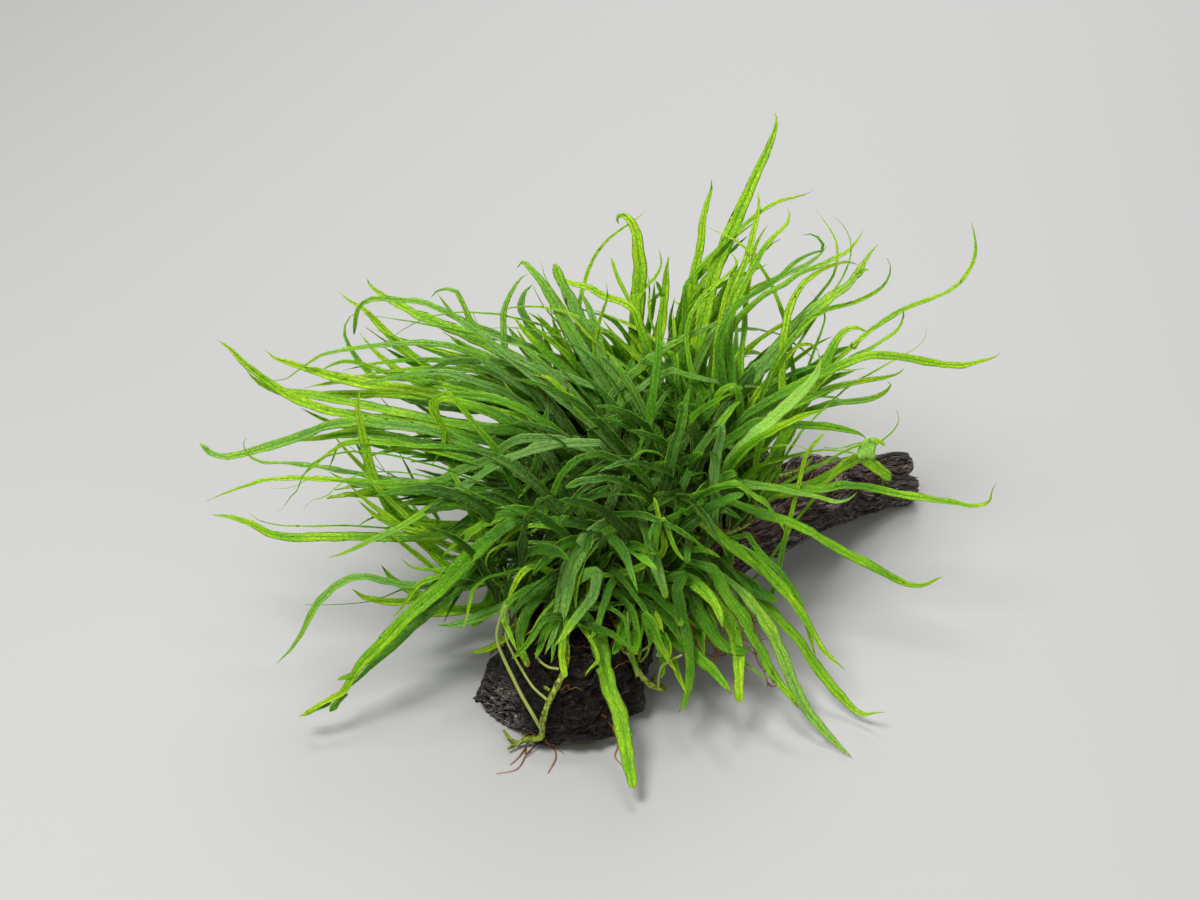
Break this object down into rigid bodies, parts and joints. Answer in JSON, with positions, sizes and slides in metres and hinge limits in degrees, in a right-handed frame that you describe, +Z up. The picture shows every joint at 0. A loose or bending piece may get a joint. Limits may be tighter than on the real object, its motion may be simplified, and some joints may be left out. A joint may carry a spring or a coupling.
{
  "type": "java fern on driftwood",
  "caption": "Clump of narrow-leaf java fern growing on a branch of dark driftwood, for the floor of an aquarium.",
  "frame": {"origin": "on the flat foot of the driftwood's stump, level with the floor it stands on", "axes": "+X to the right as pictured, +Y to the back, +Z up; the limb runs from the stump towards +X and +Y, and the leaves spread widest along X"},
  "size_m": [0.4095, 0.3095, 0.234],
  "materials": {
    "driftwood": "damp, fibrous",
    "rhizome": "scaly",
    "leaf": "leathery, wet gloss"
  },
  "bodies": {
    "root": {"driftwood_stump": "driftwood", "driftwood_limb": "driftwood", "rhizome_left": "rhizome", "rhizome_middle": "rhizome", "rhizome_right": "rhizome", "leaf_left_01": "leaf", "leaf_left_02": "leaf", "leaf_left_03": "leaf", "leaf_left_04": "leaf", "leaf_left_05": "leaf", "leaf_left_06": "leaf", "leaf_left_07": "leaf", "leaf_left_08": "leaf", "leaf_left_09": "leaf", "leaf_left_10": "leaf", "leaf_left_11": "leaf", "leaf_left_12": "leaf", "leaf_left_13": "leaf", "leaf_front_01": "leaf", "leaf_front_02": "leaf", "leaf_front_03": "leaf", "leaf_front_04": "leaf", "leaf_front_05": "leaf", "leaf_front_06": "leaf", "leaf_front_07": "leaf", "leaf_front_08": "leaf", "leaf_top_01": "leaf", "leaf_top_02": "leaf", "leaf_top_03": "leaf", "leaf_top_04": "leaf", "leaf_top_05": "leaf", "leaf_top_06": "leaf", "leaf_top_07": "leaf", "leaf_top_08": "leaf", "leaf_top_09": "leaf", "leaf_right_01": "leaf", "leaf_right_02": "leaf", "leaf_right_03": "leaf", "leaf_right_04": "leaf", "leaf_right_05": "leaf", "leaf_right_06": "leaf", "leaf_right_07": "leaf", "leaf_right_08": "leaf", "leaf_right_09": "leaf", "leaf_right_10": "leaf", "leaf_right_11": "leaf", "leaf_right_12": "leaf", "leaf_right_13": "leaf", "leaf_right_14": "leaf", "leaf_right_15": "leaf", "leaf_right_16": "leaf", "leaf_right_17": "leaf", "leaf_back_01": "leaf", "leaf_back_02": "leaf", "leaf_back_03": "leaf", "leaf_back_04": "leaf"}
  },
  "joints": []
}
